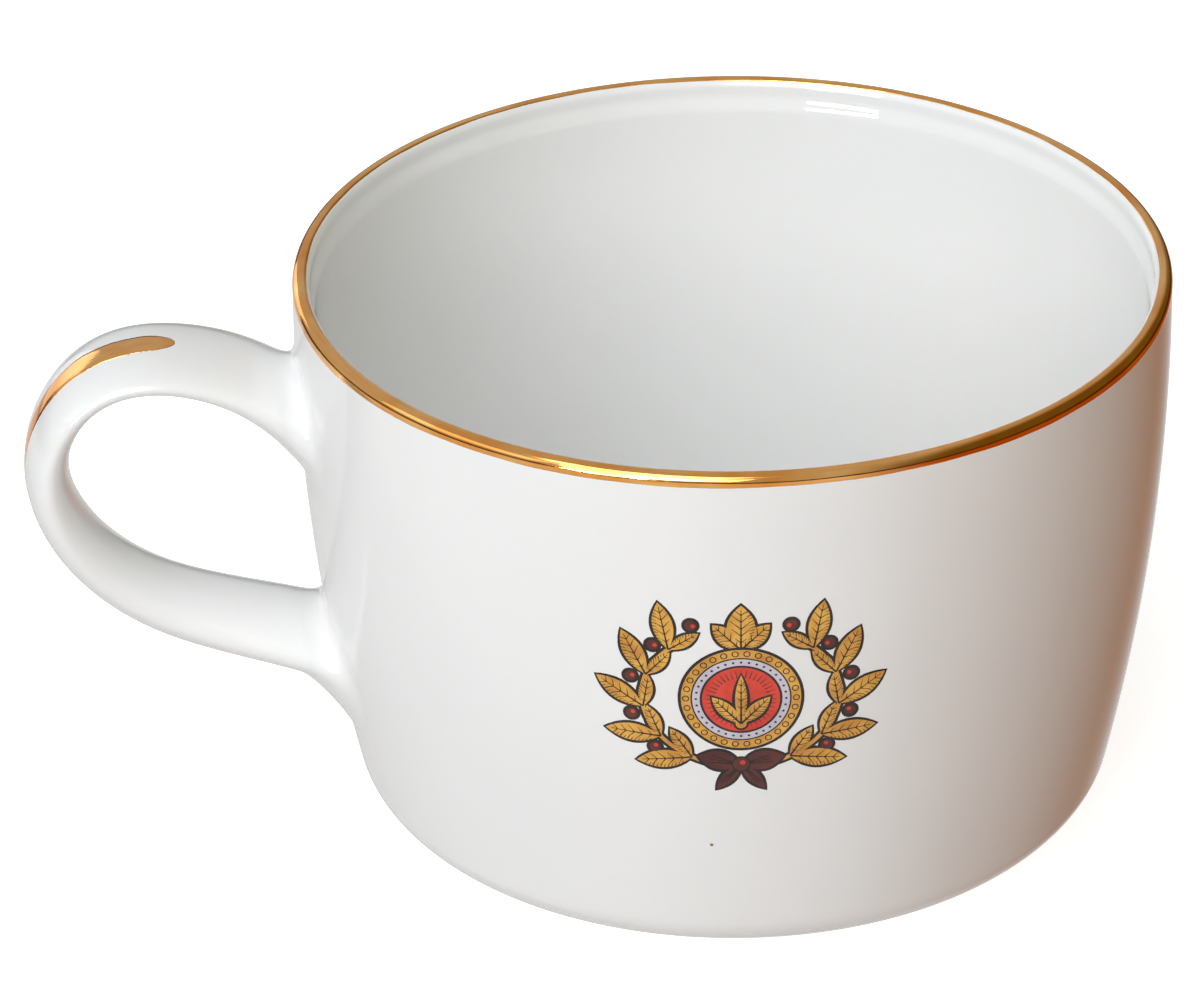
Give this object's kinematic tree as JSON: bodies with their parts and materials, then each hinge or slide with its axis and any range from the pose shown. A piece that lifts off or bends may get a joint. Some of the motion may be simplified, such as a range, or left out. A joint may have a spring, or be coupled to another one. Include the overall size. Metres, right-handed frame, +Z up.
{
  "type": "teacup",
  "caption": "Low, straight-sided porcelain teacup with a looped strap handle, a gilded lip and a printed botanical emblem.",
  "frame": {"origin": "centre of the foot ring, on the surface that the cup stands on", "axes": "+Z up along the axis of the bowl, through the mouth; the handle points along -X; the emblem faces -Y, turned 8.5 degrees towards the handle"},
  "size_m": [0.1121, 0.0853, 0.0591],
  "materials": {
    "glazed_porcelain": "clear gloss glaze over white porcelain",
    "bare_porcelain": "unglazed, fine ground",
    "gilding": "fired bright gold, mirror gloss",
    "print_brown": "overglaze print, gloss",
    "print_ochre": "overglaze print, gloss",
    "print_pale": "overglaze print, gloss",
    "print_red": "overglaze print, gloss",
    "print_maroon": "overglaze print, gloss"
  },
  "bodies": {
    "root": {"bowl": "glazed_porcelain", "foot_ring": "bare_porcelain", "handle": "glazed_porcelain", "handle_upper_joint": "glazed_porcelain", "handle_lower_joint": "glazed_porcelain", "rim_gilding": "gilding", "handle_gilding": "gilding", "emblem_ground": "print_brown", "emblem_wreath": "print_ochre", "emblem_pale_band": "print_pale", "emblem_disc": "print_red", "emblem_berries": "print_maroon", "emblem_bow": "print_maroon"}
  },
  "joints": []
}
